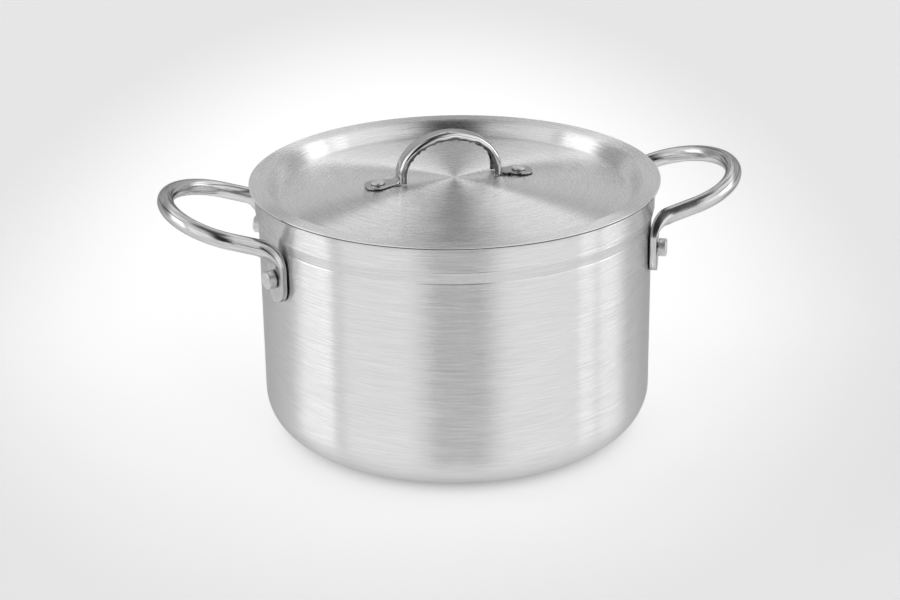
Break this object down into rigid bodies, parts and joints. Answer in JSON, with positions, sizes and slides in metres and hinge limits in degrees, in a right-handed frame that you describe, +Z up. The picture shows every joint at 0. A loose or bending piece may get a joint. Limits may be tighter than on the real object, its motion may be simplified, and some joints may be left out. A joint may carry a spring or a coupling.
{
  "type": "casserole pot",
  "caption": "Round flat-bottomed aluminium cooking pot with a recessed lift-off lid, riveted steel loop handles at the sides and a riveted arched strap handle on the lid.",
  "frame": {"origin": "middle of the underside of the base", "axes": "+Z up along the pot's axis, +X through the side handles, to the right as the picture shows the pot, and -Y towards its front"},
  "size_m": [0.3596, 0.25, 0.1862],
  "materials": {
    "pot_aluminium": "brushed around the wall",
    "lid_aluminium": "brushed in circles",
    "handle_steel": "polished",
    "lid_handle_steel": "polished",
    "rivet_aluminium": "satin"
  },
  "bodies": {
    "pot": {"pot_body": "pot_aluminium", "side_handle_right": "handle_steel", "side_handle_left": "handle_steel", "handle_rivet_right_front": "rivet_aluminium", "handle_rivet_right_rear": "rivet_aluminium", "handle_rivet_left_front": "rivet_aluminium", "handle_rivet_left_rear": "rivet_aluminium"},
    "lid": {"lid": "lid_aluminium", "lid_handle": "lid_handle_steel", "lid_rivet_right": "rivet_aluminium", "lid_rivet_left": "rivet_aluminium"}
  },
  "joints": [
    {"name": "lid_lift", "type": "slide", "parent": "pot", "child": "lid", "axis": [0, 0, 1], "range_m": [0, 0.12]}
  ]
}
